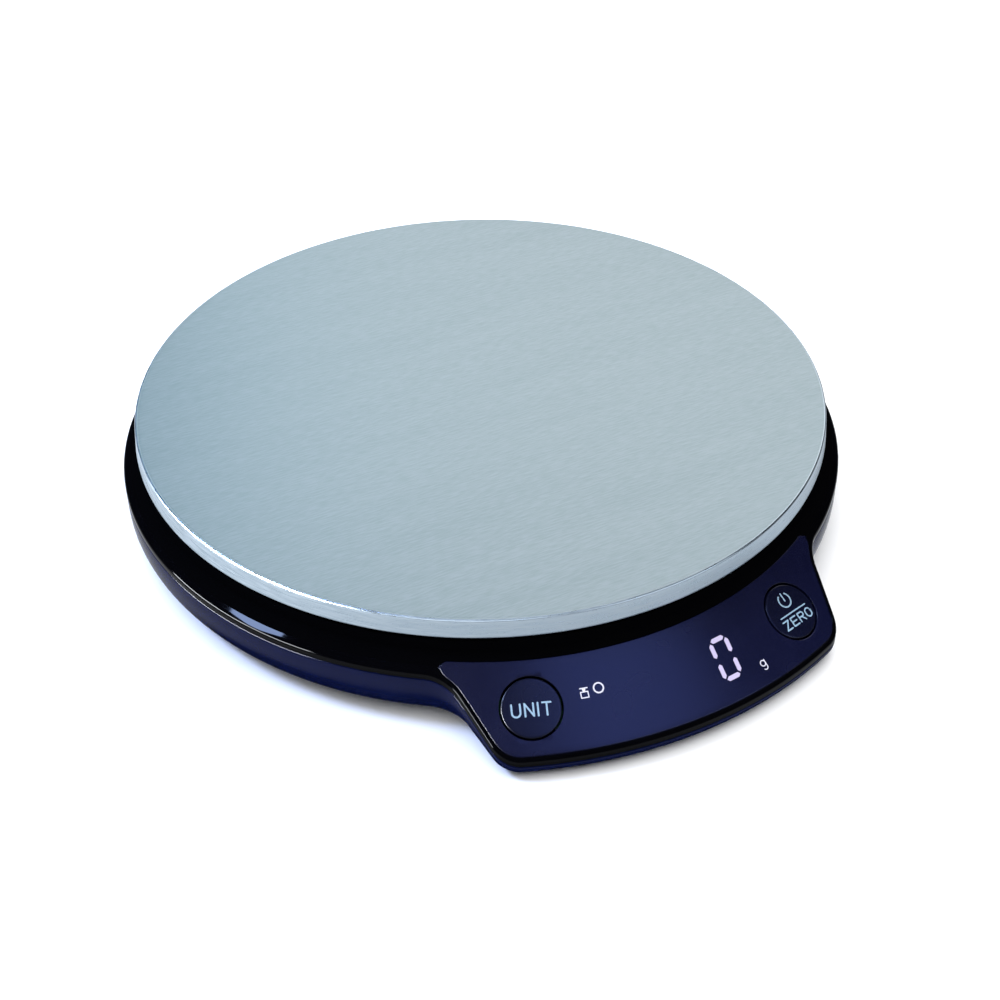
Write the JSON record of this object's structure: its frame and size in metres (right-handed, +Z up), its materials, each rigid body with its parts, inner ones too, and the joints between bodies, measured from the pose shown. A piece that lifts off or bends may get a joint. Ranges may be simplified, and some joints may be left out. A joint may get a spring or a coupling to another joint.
{
  "type": "kitchen scale",
  "caption": "Round electronic kitchen scale: flat brushed steel pan on a load cell, glossy case with a sloping front tab, lit digit, two push buttons and a hinged battery door.",
  "frame": {"origin": "on the table, at the middle of the scale's outline seen from above; the pan's axis stands 9.25 mm behind it", "axes": "+Z up, -Y towards the user and the control tab, X along the tab's width"},
  "size_m": [0.21, 0.2284, 0.033],
  "materials": {
    "navy_gloss_plastic": "gloss, moulded",
    "black_gloss_plastic": "high gloss, moulded",
    "panel_film": "gloss printed panel",
    "brushed_pan_steel": "straight brushed grain",
    "carrier_plastic": "fine texture, moulded",
    "foot_rubber": "moulded",
    "board_laminate": "solder mask over glass laminate",
    "chip_resin": "moulded resin",
    "capacitor_sleeve": "shrunk sleeve",
    "display_epoxy": "cast epoxy over a dark reflector",
    "switch_body": "moulded",
    "switch_plunger": "moulded",
    "cell_aluminium": "milled",
    "gauge_foil": "etched foil on film",
    "sealant": "cured silicone",
    "plate_steel": "stamped, zinc plated",
    "screw_steel": "zinc plated",
    "black_screw_steel": "blackened",
    "battery_jacket": "shrunk jacket",
    "contact_nickel": "nickel plated spring steel",
    "wire_sleeve": "extruded",
    "cable_sleeve": "extruded",
    "adhesive_foam": "foam tape",
    "pad_foam": "closed foam"
  },
  "bodies": {
    "base": {"lower_shell": "navy_gloss_plastic", "upper_shell": "black_gloss_plastic", "control_panel": "panel_film", "main_board": "board_laminate", "controller_chip": "chip_resin", "converter_chip": "chip_resin", "smoothing_capacitor": "capacitor_sleeve", "display_board": "board_laminate", "display_module": "display_epoxy", "unit_switch_board": "board_laminate", "unit_switch": "switch_body", "zero_switch_board": "board_laminate", "zero_switch": "switch_body", "load_cell": "cell_aluminium", "strain_gauges": "gauge_foil", "gauge_sealant": "sealant", "lower_cell_spacer": "plate_steel", "lower_cell_screws": "screw_steel", "overload_stop": "foot_rubber", "batteries": "battery_jacket", "battery_springs": "contact_nickel", "battery_contacts": "contact_nickel", "battery_wires": "wire_sleeve", "cell_cable": "cable_sleeve", "display_ribbon": "cable_sleeve", "board_screws": "screw_steel", "case_screws": "black_screw_steel", "rubber_feet": "foot_rubber"},
    "platform": {"platform_cover": "brushed_pan_steel", "platform_carrier": "carrier_plastic", "adhesive_pads": "adhesive_foam", "upper_cell_spacer": "plate_steel", "upper_cell_screws": "screw_steel"},
    "unit_button": {"unit_button_cap": "navy_gloss_plastic", "unit_switch_plunger": "switch_plunger"},
    "zero_button": {"zero_button_cap": "navy_gloss_plastic", "zero_switch_plunger": "switch_plunger"},
    "battery_door": {"battery_door": "navy_gloss_plastic", "door_pad": "pad_foam"}
  },
  "joints": [
    {"name": "platform_sink", "type": "slide", "parent": "base", "child": "platform", "axis": [0, 0, -1], "range_m": [0, 0.0006], "stiffness_N_per_m": 80000, "springref_m": -0.00003, "deforming": ["load_cell", "strain_gauges", "gauge_sealant"]},
    {"name": "unit_press", "type": "slide", "parent": "base", "child": "unit_button", "axis": [0.1861, 0.5056, -0.8425], "range_m": [0, 0.0005], "stiffness_N_per_m": 3000},
    {"name": "zero_press", "type": "slide", "parent": "base", "child": "zero_button", "axis": [-0.1861, 0.5056, -0.8425], "range_m": [0, 0.0005], "stiffness_N_per_m": 3000},
    {"name": "door_swing", "type": "hinge", "parent": "base", "child": "battery_door", "pos_m": [0, 0.06605, 0.0035], "axis": [1, 0, 0], "range_deg": [0, 95]}
  ]
}
